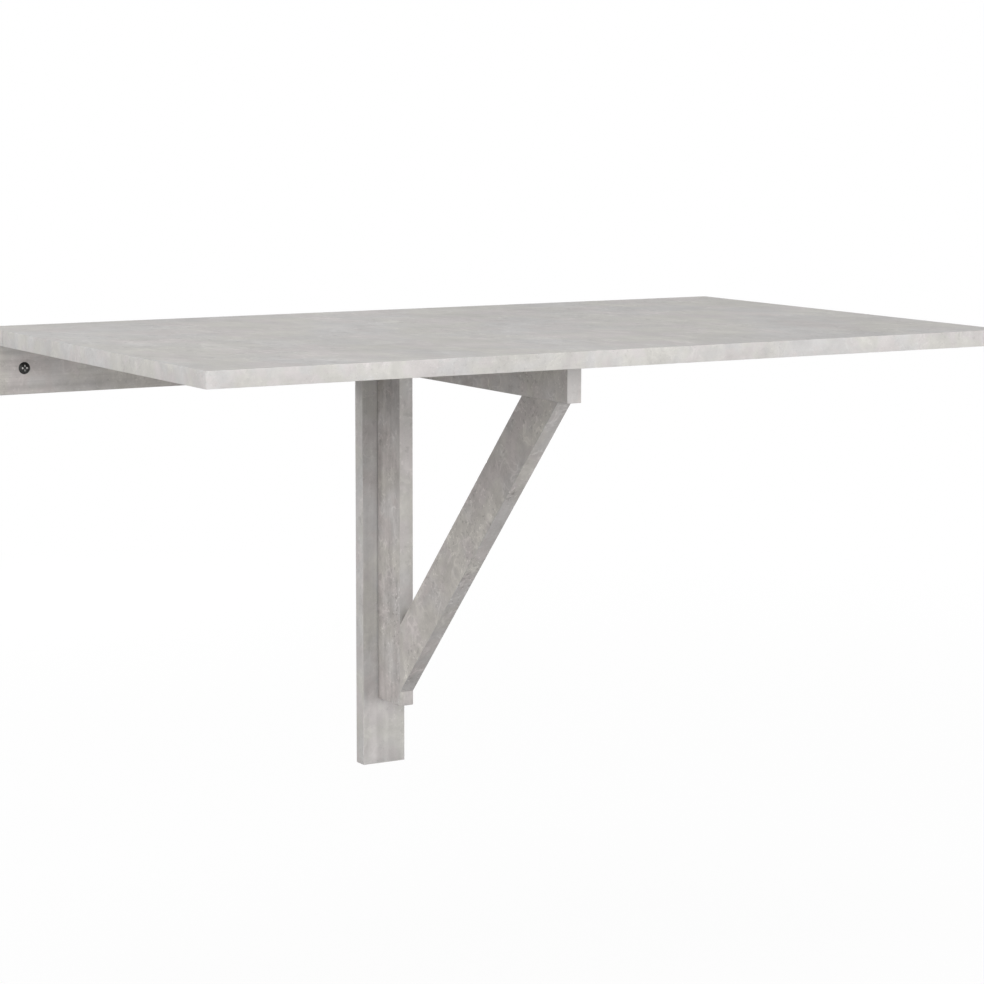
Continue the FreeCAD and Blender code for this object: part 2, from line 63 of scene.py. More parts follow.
class Shade:
    """A socket in a material. Sums and products of these add Math nodes to its tree."""

    def __init__(self, tree, socket=None):
        self.tree = tree
        self.socket = socket

    def make(self, kind, settings=None, inputs=None, out=0):
        """Adds a node: its settings first, then the values or links of its sockets."""
        node = self.tree.nodes.new(kind)
        for name, value in (settings or {}).items():
            setattr(node, name, value)
        for name, value in (inputs or {}).items():
            if isinstance(value, Shade):
                self.tree.links.new(value.socket, node.inputs[name])
            else:
                node.inputs[name].default_value = value
        return Shade(self.tree, node.outputs[out])

    def into(self, node, name):
        """Links this socket to an input of a node that is already there."""
        self.tree.links.new(self.socket, node.inputs[name])

    def spot(self):
        """The place of a point on the table, in metres."""
        return self.make("ShaderNodeTexCoord", out="Object")

    def noise(self, where, scale, detail, roughness=0.5, warp=0.0):
        """A cloudy value about 0.5, with scale clouds to the metre and detail finer layers in them."""
        return self.make("ShaderNodeTexNoise", None, {
            "Vector": where, "Scale": scale, "Detail": detail, "Roughness": roughness,
            "Distortion": warp})

    def above(self, value, low, high):
        """0 where a value is below low, 1 where it is above high, and a smooth step between."""
        return self.make("ShaderNodeMapRange", {"interpolation_type": "SMOOTHSTEP"}, {
            "Value": value, "From Min": low, "From Max": high})

    def tint(self, share, first, second):
        """The first colour where the share is 0, the second where it is 1, and a mix between."""
        return self.make("ShaderNodeMix", {"data_type": "RGBA"}, {0: share, 6: first, 7: second}, out=2)

    def reckon(self, operation, first, second):
        """A Math node on two values."""
        return self.make("ShaderNodeMath", {"operation": operation}, {0: first, 1: second})

    def __add__(self, other):
        return self.reckon("ADD", self, other)

    def __radd__(self, other):
        return self.reckon("ADD", other, self)

    def __sub__(self, other):
        return self.reckon("SUBTRACT", self, other)

    def __rsub__(self, other):
        return self.reckon("SUBTRACT", other, self)

    def __mul__(self, other):
        return self.reckon("MULTIPLY", self, other)

    def __rmul__(self, other):
        return self.reckon("MULTIPLY", other, self)


def plain_finish(name):
    """A new material with its surface node, and its tree ready for expressions."""
    finish = bpy.data.materials.new(name)
    finish.use_nodes = True
    return finish, finish.node_tree.nodes["Principled BSDF"], Shade(finish.node_tree)


def concrete_decor(name, along, place, pull=0.1, streak=0.45, marks=0.7, warm=1.0, print_and_light_lift=0.0,
                   fineness=(1.0, 1.0, 1.0)):
    """Printed concrete, on a sheet whose X is the print's length, finer by axis of the table.

    tone = 0.5 + offset + clouds + mottling + streaks + grit + marks. The offset makes a whole piece paler
    or darker: partly its print's own tone, and partly painted light and shade, set piece by piece, most
    of all on the edge bands and the arm. The first four patterns are noises less their mean, times a
    weight, and pull draws the streaks out along the length. The marks are flecks, blotches and pores,
    where a noise is high, smears, where one is near its mean, and pits, the middles of a few cells; a
    slow noise strews the first two. The tone runs from a dark grey to a pale one, which is cool, sandy or
    rosy by two slow noises, and warmer all over by the share warm.
    """
    cloud_weight, mottle_weight, grit_weight, pore_weight = 0.30, 0.36 + 0.06 * marks, 0.10, 0.07
    fleck_weight, smear_weight, blotch_weight, pit_weight = 0.16, 0.10, 0.14, 0.07
    pale_shift, dark_shift = (0.011, -0.006, -0.015), (0.008, -0.002, -0.007)

    def warmed(colour, shift):
        return tuple(part + step * warm for part, step in zip(colour, shift)) + (1.0,)

    cool = warmed((0.794, 0.788, 0.784), pale_shift)
    sandy = warmed((0.804, 0.793, 0.750), pale_shift)
    rosy = warmed((0.812, 0.779, 0.770), pale_shift)
    dark = warmed((0.200, 0.193, 0.188), dark_shift)
    finish, surface, paper = plain_finish(name)
    close = paper.spot()
    sheet = paper.make("ShaderNodeMapping", None, {
        "Vector": close, "Rotation": along, "Location": place, "Scale": fineness})
    drawn = paper.make("ShaderNodeMapping", None, {"Vector": sheet, "Scale": (pull, 1.0, 1.0)})
    clouds = paper.noise(sheet, 7.0, 3.0, 0.55, 0.4)
    mottle = paper.noise(sheet, 42.0, 5.0, 0.62, 0.3)
    streaks = paper.noise(drawn, 60.0, 4.0, 0.6)
    grit = paper.noise(close, 1100.0, 2.0, 0.6)
    strewn = 0.3 + 0.7 * paper.above(paper.noise(sheet, 9.0, 2.0), 0.44, 0.58)
    flecks = paper.above(paper.noise(sheet, 260.0, 2.0, 0.6), 0.58, 0.70) * strewn
    blotches = paper.above(paper.noise(sheet, 190.0, 2.0, 0.55, 0.3), 0.57, 0.70) * strewn
    pores = paper.above(paper.noise(close, 520.0, 1.0), 0.66, 0.76)
    from_mean = paper.reckon("ABSOLUTE", paper.noise(sheet, 44.0, 2.0, 0.45, 0.8) - 0.5, 0.0)
    smeared = paper.above(paper.noise(sheet, 36.0, 1.0), 0.46, 0.62)
    smears = (1 - paper.above(from_mean, 0.0, 0.06)) * smeared
    cells = {"Vector": sheet, "Scale": 75.0}
    cell_colour = paper.make("ShaderNodeTexVoronoi", None, cells, out="Color")
    few_cells = paper.above(paper.make("ShaderNodeSeparateColor", None, {0: cell_colour}), 0.86, 0.88)
    from_middle = paper.make("ShaderNodeTexVoronoi", None, cells, out="Distance")
    pits = (1 - paper.above(from_middle, 0.04, 0.13)) * few_cells
    # The offset is partly the print's tone and partly painted light and shade on the piece.
    tone = (0.5 + print_and_light_lift + cloud_weight * (clouds - 0.5) + mottle_weight * (mottle - 0.5)
            + streak * (streaks - 0.5) + grit_weight * (grit - 0.5) - pore_weight * pores
            + marks * (fleck_weight * flecks + smear_weight * smears
                       - blotch_weight * blotches - pit_weight * pits))
    pale = paper.tint(paper.above(paper.noise(sheet, 15.0, 2.0), 0.40, 0.60), cool, sandy)
    pale = paper.tint(paper.above(paper.noise(sheet, 33.0, 2.0), 0.46, 0.64), pale, rosy)
    paper.tint(tone, dark, pale).into(surface, "Base Color")
    (0.52 + 0.25 * (mottle - 0.5) + 0.15 * pores).into(surface, "Roughness")
    dents = mottle + 0.5 * flecks + 0.6 * grit - pores - pits
    bump = paper.make("ShaderNodeBump", None, {"Strength": 0.25, "Distance": 0.0002, "Height": dents})
    bump.into(surface, "Normal")
    surface.inputs["Specular IOR Level"].default_value = 0.25
    return finish


def dress(piece, finish):
    """Gives a piece one finish all over."""
    piece.data.materials.clear()
    piece.data.materials.append(finish)


ALONG_X = (0.0, 0.0, 0.0)
rail_decor = concrete_decor("rail_decor", ALONG_X, (0.31, 0.12, 0.05), pull=0.05, streak=1.0)
dress(cad["wall_rail"], rail_decor)

# Edge band of the rail: a strip 0.8 mm thick, printed to match, glued round the batten's cut edges
# and trimmed flush. The trimming cutter just breaks its two outer arrises.


def skin(name, body, shells, ring=False):
    """A mesh from grids of points, stacked as shells x rows x columns x 3.

    Each square of neighbours is a face, and the last column meets the first. In a ring the last row
    meets the first row too, and otherwise one face closes each end.
    """
    sharp = radians(35)
    index = np.arange(shells.size // 3).reshape(shells.shape[:3])
    ends = index[:, 0].tolist() + index[:, -1, ::-1].tolist()
    if ring:
        ends = []
        index = np.concatenate([index, index[:, :1]], axis=1)
    index = np.concatenate([index, index[:, :, :1]], axis=2)
    corners = [index[:, :-1, :-1], index[:, 1:, :-1], index[:, 1:, 1:], index[:, :-1, 1:]]
    squares = np.stack(corners, axis=-1).reshape(-1, 4).tolist()
    mesh = bpy.data.meshes.new(name)
    mesh.from_pydata(shells.reshape(-1, 3).tolist(), [], squares + ends)
    mesh.polygons.foreach_set("use_smooth", np.ones(len(mesh.polygons), dtype=bool))
    mesh.set_sharp_from_angle(angle=sharp)
    piece = bpy.data.objects.new(name, mesh)
    scene.collection.objects.link(piece)
    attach(piece, body)
    return piece


def band_section(height):
    """The band's section, as depth behind its face and place across the board.

    A strip 0.8 mm thick and as high as the board, whose two outer arrises are quarter circles.
    """
    thick, arris, steps = 0.0008, 0.0004, 5
    turn = np.linspace(0, pi / 2, steps)
    depth = arris * (1 - np.sin(turn))
    rise = arris * (1 - np.cos(turn))
    depths = np.concatenate([[thick], depth, depth[::-1], [thick]])
    rises = np.concatenate([[0], rise, height - rise[::-1], [height]])
    return depths, rises


def corner_path(steps):
    """Once round a rectangle: the signs of each corner's place, and the outward angles there."""
    signs = np.repeat(np.array([[1, -1], [1, 1], [-1, 1], [-1, -1]]), steps, axis=0)
    angles = (np.arange(-1, 3)[:, None] * pi / 2 + np.linspace(0, pi / 2, steps)).ravel()
    return signs, angles


def edge_band(name, node, body, across, bare=False):
    """A band round a board, in the box of its CAD node.

    The path is the board's outline with corners of radius 1 mm, as a centre and an outward direction
    at each step. A point of the section at depth d lies at centre + (radius - d) x direction. A bare
    band leaves the outline's high first side open and has its two ends there.
    """
    corner, steps = 0.001, 6
    low, high = (np.array(place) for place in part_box(node))
    first, second = (across + 1) % 3, (across + 2) % 3
    signs, angles = corner_path(steps)
    plane = [first, second]
    centres = ((low + high) / 2)[plane] + signs * ((high - low) / 2 - corner)[plane]
    if bare:
        open_ends = np.array([[high[first], centres[2 * steps, 1]], [high[first], centres[-1, 1]]])
        centres = np.concatenate([open_ends[:1], centres[2 * steps:], open_ends[1:]])
        angles = np.concatenate([[pi / 2], angles[2 * steps:], [3 * pi / 2]])
    depths, rises = band_section(high[across] - low[across])
    points = np.zeros((1, len(angles), len(depths), 3))
    points[0, :, :, first] = centres[:, :1] + (corner - depths) * np.cos(angles)[:, None]
    points[0, :, :, second] = centres[:, 1:] + (corner - depths) * np.sin(angles)[:, None]
    points[0, :, :, across] = low[across] + rises
    piece = skin(name, body, points, ring=not bare)
    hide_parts(node)
    return piece


ALONG_Y = (0.0, 0.0, -pi / 2)
coarse = (0.8, 0.8, 0.8)
rail_band = edge_band("rail_band", "rail_edge_band", "frame", 1)
dress(rail_band, concrete_decor("rail_band_decor", ALONG_Y, (0.9, 0.4, 0.2),
                                pull=1.0, streak=0.2, fineness=coarse))

# Wall screws: four black phosphated steel screws with a low domed head and a cross recess. A plain
# neck passes through the rail, and a coarse thread bites in the plug in the wall.
screw_head = 0.007
inner_reach = 0.155


def wall_screw_shells(bases):
    """Screws that point along +Y, one for each point where a head's middle meets the rail.

    Over the head the height is a spherical cap less a cross of two rounded slots. Below it the radius
    goes by length: flat underside, neck, then a thread whose ridge climbs one pitch a turn, and point.
    The second result is 1 in the cross's arms, 0 elsewhere: scraped bare steel and a painted glint.
    """
    dome, neck, root, crest = 0.003, 0.0022, 0.0018, 0.0025
    pitch, board, length, tip, blunt = 0.0024, 0.018, 0.05, 0.006, 0.0003
    slot_half, slot_slope, slot_reach, slot_end, slot_depth = 0.0011, 0.0003, 0.0038, 0.0007, 0.0018
    hub, hub_slope = 0.0013, 0.0006
    middle, recess, rim = 0.0002, 0.0045, 0.0048
    ridge_share, tip_share, rings = 0.3, 0.05, 8
    around = np.linspace(0, 2 * pi, 72, endpoint=False)
    ball = (screw_head ** 2 + dome ** 2) / (2 * dome)
    out = np.concatenate([np.linspace(middle, recess, 26), np.linspace(rim, screw_head, 7)])[:, None]
    x, z = out * np.cos(around), out * np.sin(around)
    narrow = np.minimum(abs(x), abs(z))
    wide = np.maximum(abs(x), abs(z))
    slot = (np.clip((slot_half - narrow) / slot_slope, 0, 1)
            * np.clip((slot_reach - wide) / slot_end, 0, 1))
    cap = np.sqrt(ball ** 2 - out ** 2) - (ball - dome)
    high = cap - slot_depth * slot * slot * (3 - 2 * slot)
    rubbed_and_glint = np.clip(2 * slot, 0, 1) * np.clip((wide - hub) / hub_slope, 0, 1)
    grip = np.arange(0, length - board - blunt, pitch / rings)[:, None]
    turn = (grip / pitch - around / (2 * pi)) % 1
    ridge = np.clip(1 - abs(turn - 0.5) / ridge_share, 0, 1)
    taper = np.clip((length - board - grip) / tip, tip_share, 1)
    start = np.clip(grip / pitch, 0, 1)
    thread = (root + (crest - root) * ridge * start) * taper
    shank = np.array([[0.0, neck], [-board, neck]])
    radius = np.concatenate([out + 0 * around, shank[:, 1:] + 0 * around, thread])
    height = np.concatenate([high, shank[:, :1] + 0 * around, -board - grip + 0 * around])
    one = np.stack([radius * np.cos(around), -height, radius * np.sin(around)], axis=-1)
    wear_and_glint = np.zeros((len(bases),) + radius.shape, dtype=np.float32)
    wear_and_glint[:, :len(out)] = rubbed_and_glint
    return one + np.array(bases)[:, None, None, :], wear_and_glint


rail_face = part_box("wall_rail")[0].y
outer_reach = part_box("wall_screws")[1].x - screw_head
screw_row = (-outer_reach, -inner_reach, inner_reach, outer_reach)
screw_shells, screw_wear_and_glint = wall_screw_shells([(x, rail_face, 0.0) for x in screw_row])
wall_screws = skin("domed_wall_screws", "frame", screw_shells)
wear_and_glint_layer = wall_screws.data.attributes.new("wear_and_glint", "FLOAT", "POINT")
wear_and_glint_layer.data.foreach_set("value", screw_wear_and_glint.ravel())
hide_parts("wall_screws")
soot = (0.008, 0.008, 0.008, 1.0)
graphite = (0.034, 0.033, 0.032, 1.0)
glinting_bare_steel = (0.50, 0.49, 0.48, 1.0)
black, black_surface, coat = plain_finish("black_phosphate")
grain = coat.noise(coat.spot(), 2600.0, 3.0, 0.6)
# Cross's arms: steel scraped bare by the driver, and its pale colour is also a painted glint in the
# recess.
worn_and_glint = coat.make("ShaderNodeAttribute", {"attribute_name": "wear_and_glint"}, out="Fac")
coat.tint(worn_and_glint, coat.tint(grain, soot, graphite), glinting_bare_steel).into(black_surface, "Base Color")
(0.34 + 0.22 * grain).into(black_surface, "Roughness")
(0.5 + 0.3 * worn_and_glint).into(black_surface, "Metallic")
dress(wall_screws, black)

# Shelf strip: a narrow board in the same decor, dowelled on top of the rail. It keeps the hinge line
# far enough from the wall for the folded gate to fit behind the hanging leaf.
ALONG_Z = (0.0, pi / 2, 0.0)
top_print = {"along": ALONG_X, "place": (1.7, 0.6, 0.3), "pull": 1.0, "streak": 0.3, "marks": 0.8,
             "warm": 0.4, "fineness": (0.55, 0.36, 0.55)}
# The bands of the strip and the leaf are painted paler: partly their print, partly painted light on these
# lit edges.
top_edge_print = {"along": ALONG_Z, "place": (0.2, 1.4, 0.6), "pull": 1.0, "streak": 0.1,
                  "warm": 0.3, "print_and_light_lift": 0.09, "fineness": (1.5, 1.5, 1.5)}
dress(cad["shelf_strip"], concrete_decor("strip_decor", **top_print))
strip_band = edge_band("strip_band", "strip_edge_band", "frame", 2)
dress(strip_band, concrete_decor("strip_band_decor", **top_edge_print))

# Post: an upright batten lapped on the rail's front, held by two screws sunk in the rail's back.
# The gate hangs on its front face.
dress(cad["post"], concrete_decor("post_decor", ALONG_Z, (0.5, 2.3, 1.4),
                                  pull=0.07, streak=0.5, warm=0.4, print_and_light_lift=0.01))
# The post's band is painted paler: partly print, partly painted light that keeps its left edge bright
# under the leaf.
post_band = edge_band("post_band", "post_edge_band", "frame", 1)
dress(post_band, concrete_decor("post_band_decor", ALONG_Z, (1.1, 0.3, 0.7),
                                pull=1.0, streak=0.2, warm=0.5, print_and_light_lift=0.08, fineness=coarse))

# Wall block: an offcut of the same board behind the post's foot, dowelled to it, which bears on the
# wall. Its cut edges have no band, so the pressed chips show.
dark_chip = (0.33, 0.22, 0.12, 1.0)
light_chip = (0.62, 0.47, 0.30, 1.0)
dark_face = (0.36, 0.35, 0.335, 1.0)
light_face = (0.66, 0.645, 0.62, 1.0)
block, block_surface, chips = plain_finish("block_offcut")
chip_spot = chips.spot()
pressed = chips.make("ShaderNodeMapping", None, {"Vector": chip_spot, "Scale": (1.0, 2.2, 1.0)})
chip = chips.make("ShaderNodeTexVoronoi", {"feature": "F1"}, {"Vector": pressed, "Scale": 330.0},
                  out="Color")
chip_tone = chips.make("ShaderNodeSeparateColor", None, {0: chip})
outward = chips.make("ShaderNodeTexCoord", out="Normal")
facing = chips.make("ShaderNodeSeparateXYZ", None, {0: outward}, out=1)
laminate = chips.make("ShaderNodeMapRange", None, {
    "Value": facing * facing, "From Min": 0.4, "From Max": 0.6})
chip_colour = chips.tint(chip_tone, dark_chip, light_chip)
face_colour = chips.tint(chips.noise(chip_spot, 60.0, 5.0), dark_face, light_face)
chips.tint(laminate, chip_colour, face_colour).into(block_surface, "Base Color")
(0.85 - 0.3 * laminate).into(block_surface, "Roughness")
chips.make("ShaderNodeBump", None, {
    "Strength": 0.4, "Distance": 0.0003,
    "Height": chip_tone - chip_tone * laminate}).into(block_surface, "Normal")
dress(cad["wall_block"], block)

# Dowels of the frame: turned beech pegs, fluted so that the glue can spread. Six stand in the rail and
# hold the strip, and two lie in the post and the block.
peg_radius = 0.004
peg_length = 0.03
rail_peg_count = 6
block_peg_spread = 0.03


def turned(radii, places, bases, axis, around):
    """Round pieces about one of the frame's axes: a profile of radius against place, from its high
    end to its low one, set at each base. radii may change around the axis as well.
    """
    first, second = (axis + 1) % 3, (axis + 2) % 3
    radii = radii + 0 * around
    one = np.zeros(radii.shape + (3,))
    one[..., first] = radii * np.cos(around)
    one[..., second] = radii * np.sin(around)
    one[..., axis] = places[:, None]
    return one + np.array(bases)[:, None, None, :]


def dowel_shells(bases, axis):
    """Dowels: pegs bevelled at both ends, with rounded flutes cut along them, each flute's depth going
    as the square of a raised cosine around the peg.
    """
    bevel, flute_depth, flutes = 0.0008, 0.0003, 16
    around = np.linspace(0, 2 * pi, 8 * flutes, endpoint=False)
    flute = flute_depth * (0.5 + 0.5 * np.cos(flutes * around)) ** 2
    places = np.array([peg_length, peg_length - bevel, peg_length / 2, bevel, 0.0])
    end = peg_radius - bevel
    body = np.array([end, peg_radius, peg_radius, peg_radius, end])[:, None]
    return turned(body - flute, places, bases, axis, around)


dark_beech = (0.42, 0.25, 0.13, 1.0)
light_beech = (0.80, 0.61, 0.42, 1.0)
beech, beech_surface, wood = plain_finish("beech")
fibre = wood.noise(wood.spot(), 900.0, 4.0, 0.65)
wood.tint(fibre, dark_beech, light_beech).into(beech_surface, "Base Color")
(0.55 + 0.2 * fibre).into(beech_surface, "Roughness")
pegs_low, pegs_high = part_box("frame_dowels")
rail_row = np.linspace(pegs_low.x + peg_radius, pegs_high.x - peg_radius, rail_peg_count)
rail_pegs = dowel_shells([(x, rail_face / 2, pegs_high.z - peg_length) for x in rail_row], 2)
block_low, block_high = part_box("wall_block")
block_middle = (block_low.z + block_high.z) / 2
block_pegs = dowel_shells([(0.0, rail_face - peg_length / 2, block_middle + side * block_peg_spread / 2)
                           for side in (-1, 1)], 1)
frame_pegs = skin("frame_pegs", "frame", np.concatenate([rail_pegs, block_pegs]))
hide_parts("frame_dowels")
dress(frame_pegs, beech)

# Leaf: the hinged part of the top, a full sheet of the same board. It hangs on three butt hinges under
# the strip's front edge and rests level on the swung-out gate.
dress(cad["leaf"], concrete_decor("leaf_decor", **top_print))
# The leaf's band takes the same paler tone: partly print, partly painted light on its front and side.
leaf_band = edge_band("leaf_band", "leaf_edge_band", "leaf", 2)
dress(leaf_band, concrete_decor("leaf_band_decor", **top_edge_print))

# Gate: stile, arm and slanted brace of the same board, butted and dowelled into one frame that swings
# on the post. The stile stands on edge at the post, and the arm lies under the leaf.
# The stile is painted a shade darker: partly its print, partly painted shade under the leaf.
dress(cad["gate_stile"], concrete_decor("stile_decor", ALONG_Z, (0.7, 0.2, 0.1),
                                        pull=0.25, streak=0.75, marks=1.8, warm=1.3, print_and_light_lift=-0.02))
stile_band = edge_band("stile_band", "stile_edge_band", "gate", 0)
dress(stile_band, concrete_decor("stile_band_decor", ALONG_X, (0.4, 0.9, 1.67),
                                 pull=1.0, streak=0.2, warm=0.7, print_and_light_lift=0.02, fineness=coarse))
# Arm and band painted much paler: partly print, partly painted light against the leaf's shade on them.
dress(cad["gate_arm"], concrete_decor("arm_decor", ALONG_Y, (0.1, 1.2, 0.8),
                                      pull=1.0, marks=1.5, warm=1.3, print_and_light_lift=0.14))
arm_band = edge_band("arm_band", "arm_edge_band", "gate", 0, bare=True)
dress(arm_band, concrete_decor("arm_band_decor", ALONG_X, (1.9, 0.5, 0.4),
                               pull=1.0, streak=0.2, marks=0.4, print_and_light_lift=0.16, fineness=coarse))

# Brace: a batten of the same board, cut at both ends to lie flat under the arm and flat on the stile,
# with a band on each of its two long edges.
brace_width = 0.057
brace_low, brace_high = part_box("brace_edge_bands")
brace_run = brace_high.y - brace_low.y
brace_climb = brace_high.z - brace_low.z
brace_span = (brace_run ** 2 + brace_climb ** 2) ** 0.5
brace_tilt = np.arctan2(brace_climb, brace_run)


def brace_band_shells():
    """Bands on the brace's two slanted edges, in the brace's box.

    A point at distance o from the outer edge runs straight from the arm's underside, at o x span /
    climb along it, to the stile's front, at o x span / run up it.
    """
    depths, rises = band_section(brace_high.x - brace_low.x)
    offset = np.stack([depths, brace_width - depths])
    level = 0 * offset
    side = brace_low.x + rises + level
    along_arm = brace_low.y + offset * brace_span / brace_climb
    up_stile = brace_low.z + offset * brace_span / brace_run
    head = np.stack([side, along_arm, brace_high.z + level], axis=-1)
    foot = np.stack([side, brace_high.y + level, up_stile], axis=-1)
    return np.stack([np.stack([head[0], foot[0]]), np.stack([foot[1], head[1]])])


brace_bands = skin("brace_bands", "gate", brace_band_shells())
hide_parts("brace_edge_bands")
dress(brace_bands, concrete_decor("brace_band_decor", ALONG_X, (0.6, 1.6, 0.2),
                                  pull=1.0, streak=0.3, marks=1.6, print_and_light_lift=-0.03))
# The brace is painted a shade paler: partly its print, partly painted light on its upper part.
along_brace = (brace_tilt, 0.0, -pi / 2)
dress(cad["gate_brace"], concrete_decor("brace_decor", along_brace, (0.5, 2.15, 0.6),
                                        pull=1.0, marks=1.6, warm=1.3, print_and_light_lift=0.025))

# Dowels of the gate: the same beech pegs, glued half in each board, with two in each joint of arm,
# stile and brace.
arm_peg_spread = 0.024
thirds = (1 / 3, 2 / 3)
arm_low, arm_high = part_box("arm_edge_band")
arm_middle = (arm_low.z + arm_high.z) / 2
into_stile = brace_high.y - peg_length / 2
into_arm = brace_high.z - peg_length / 2
level_pegs = [(0.0, into_stile, arm_middle + side * arm_peg_spread / 2) for side in (-1, 1)]
level_pegs += [(0.0, into_stile, brace_low.z + share * brace_width * brace_span / brace_run)
               for share in thirds]
upright_pegs = [(0.0, brace_low.y + share * brace_width * brace_span / brace_climb, into_arm)
                for share in thirds]
gate_peg_shells = np.concatenate([dowel_shells(level_pegs, 1), dowel_shells(upright_pegs, 2)])
gate_pegs = skin("gate_pegs", "gate", gate_peg_shells)
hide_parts("gate_dowels")
dress(gate_pegs, beech)

# Glide: a moulded nylon pad with a stem pressed in the arm's top edge, crowned so that the leaf slides
# over it and rests on it.
milky = (0.68, 0.67, 0.63, 1.0)
pearly = (0.82, 0.81, 0.78, 1.0)
nylon, nylon_surface, resin = plain_finish("moulded_nylon")
haze = resin.noise(resin.spot(), 700.0, 4.0)
resin.tint(haze, milky, pearly).into(nylon_surface, "Base Color")
(0.32 + 0.2 * haze).into(nylon_surface, "Roughness")
nylon_surface.inputs["Subsurface Weight"].default_value = 0.1
nylon_surface.inputs["Subsurface Radius"].default_value = (0.002, 0.002, 0.002)


def glide_shell(low, high):
    """The pad and stem as level loops from the crown down to the stem's foot.

    Each loop is a rectangle of reach a by b with corners of radius r. The crown falls away to the
    sides, the pad's rim is rounded, and the stem's loops have no reach, so they are circles.
    """
    corner, rim, crown, bevel, steps = 0.002, 0.0012, 0.0004, 0.0006, 7
    stem, stem_length, taper = 0.003, 0.012, 0.7
    half = np.array([high.x - low.x, high.y - low.y]) / 2
    middle = np.array([low.x + high.x, low.y + high.y]) / 2
    pad_foot = low.z + stem_length
    turn = np.linspace(0, pi / 2, 6)
    inner = np.array([0.15, 0.4, 0.65, 0.85])
    pad_radii = np.concatenate([inner * (corner - rim), corner - rim + rim * np.sin(turn),
                                [corner, corner - bevel]])
    pad_heights = np.concatenate([high.z - crown * inner ** 2,
                                  high.z - crown - rim * (1 - np.cos(turn)),
                                  [pad_foot + bevel, pad_foot]])
    stem_radii = np.array([stem, stem, taper * stem])
    stem_heights = np.array([pad_foot, low.z + bevel, low.z])
    outer = np.ones(len(pad_radii) - len(inner))
    shares = np.concatenate([inner, outer, np.zeros(len(stem_radii))])[:, None, None]
    radii = np.concatenate([pad_radii, stem_radii])[:, None, None]
    heights = np.concatenate([pad_heights, stem_heights])[:, None, None]
    signs, angles = corner_path(steps)
    even = np.linspace(-pi / 2, 3 * pi / 2, len(angles), endpoint=False)
    angles = np.where(shares[:, 0] > 0, angles, even)
    loops = np.stack([np.cos(angles), np.sin(angles)], axis=-1)
    level = middle + shares * signs * (half - corner) + radii * loops
    rise = np.repeat(heights, angles.shape[1], axis=1)
    return np.concatenate([level, rise], axis=-1)[None]


glide = skin("leaf_glide", "gate", glide_shell(*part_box("arm_glide")))
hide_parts("arm_glide")
dress(glide, nylon)

# Butt hinges and their screws: pressed steel plates with rolled knuckles, three under the leaf's seam
# and two beside the gate, zinc plated and held by countersunk cross-head screws.
dull_zinc = (0.44, 0.45, 0.46, 1.0)
bright_zinc = (0.64, 0.645, 0.64, 1.0)
zinc, zinc_surface, plating = plain_finish("zinc_plate")
zinc_spot = plating.spot()
cloud = plating.noise(zinc_spot, 160.0, 5.0, 0.6)
rolled = plating.make("ShaderNodeMapping", None, {"Vector": zinc_spot, "Scale": (0.06, 1.0, 0.4)})
lines = plating.noise(rolled, 3200.0, 3.0, 0.6)
plating.tint(cloud, dull_zinc, bright_zinc).into(zinc_surface, "Base Color")
(0.26 + 0.16 * cloud + 0.12 * lines).into(zinc_surface, "Roughness")
plating.make("ShaderNodeBump", None, {
    "Strength": 0.15, "Distance": 0.0001, "Height": lines}).into(zinc_surface, "Normal")
zinc_surface.inputs["Metallic"].default_value = 1.0
for name, piece in cad.items():
    if name.endswith("_plate") or name.endswith("hinge_screws") or name == "post_screws":
        dress(piece, zinc)

# Hinge pins: steel wire pins through the knuckles, headed over at both ends and plated like the plates.
# Each keeps its two plates together.


def pin_shells(bases, axis, length):
    """A pin with domed heads: radius 2.4 mm in each head, falling to its end as a quarter ellipse."""
    radius, head, height, first_angle = 0.0015, 0.0024, 0.0008, 0.12
    turn = np.linspace(first_angle, pi / 2, 6)
    dome = head * np.sin(turn)
    rise = height * np.cos(turn)
    places = np.concatenate([length - height + rise, [length - height, height], height - rise[::-1]])
    radii = np.concatenate([dome, [radius, radius], dome[::-1]])[:, None]
    return turned(radii, places, bases, axis, np.linspace(0, 2 * pi, 32, endpoint=False))


hinge_axes = {"leaf_hinge_left": 0, "leaf_hinge_centre": 0, "leaf_hinge_right": 0,
              "gate_hinge_upper": 2, "gate_hinge_lower": 2}
for hinge, axis in hinge_axes.items():
    pin_low, pin_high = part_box(f"{hinge}_pin")
    base = list((pin_low + pin_high) / 2)
    base[axis] = pin_low[axis]
    pin = skin(f"{hinge}_rivet", "frame", pin_shells([base], axis, pin_high[axis] - pin_low[axis]))
    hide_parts(f"{hinge}_pin")
    dress(pin, zinc)

# Floor: plain and pale, at the height where a table top of this kind hangs 750 mm above it. To the
# camera it is nearly white, and it keeps a faint shadow.
floor_drop = 0.75
floor_reach = 20.0
floor_grey = (0.3, 0.3, 0.3, 1.0)
floor_white = (0.95, 0.95, 0.95, 1.0)
white = (1.0, 1.0, 1.0, 1.0)
floor_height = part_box("leaf")[1].z - floor_drop
floor_mesh = bpy.data.meshes.new("floor")
floor_mesh.from_pydata([(x * floor_reach, y * floor_reach, floor_height)
                        for x, y in ((-1, -1), (1, -1), (1, 1), (-1, 1))], [], [(0, 1, 2, 3)])
floor = bpy.data.objects.new("floor", floor_mesh)
scene.collection.objects.link(floor)


def in_sight(tree):
    """1 for a ray from the camera, straight or by way of metal or glass, and 0 for other light."""
    return (tree.make("ShaderNodeLightPath", out="Is Camera Ray")
            + tree.make("ShaderNodeLightPath", out="Is Glossy Ray")
            + tree.make("ShaderNodeLightPath", out="Is Transmission Ray"))


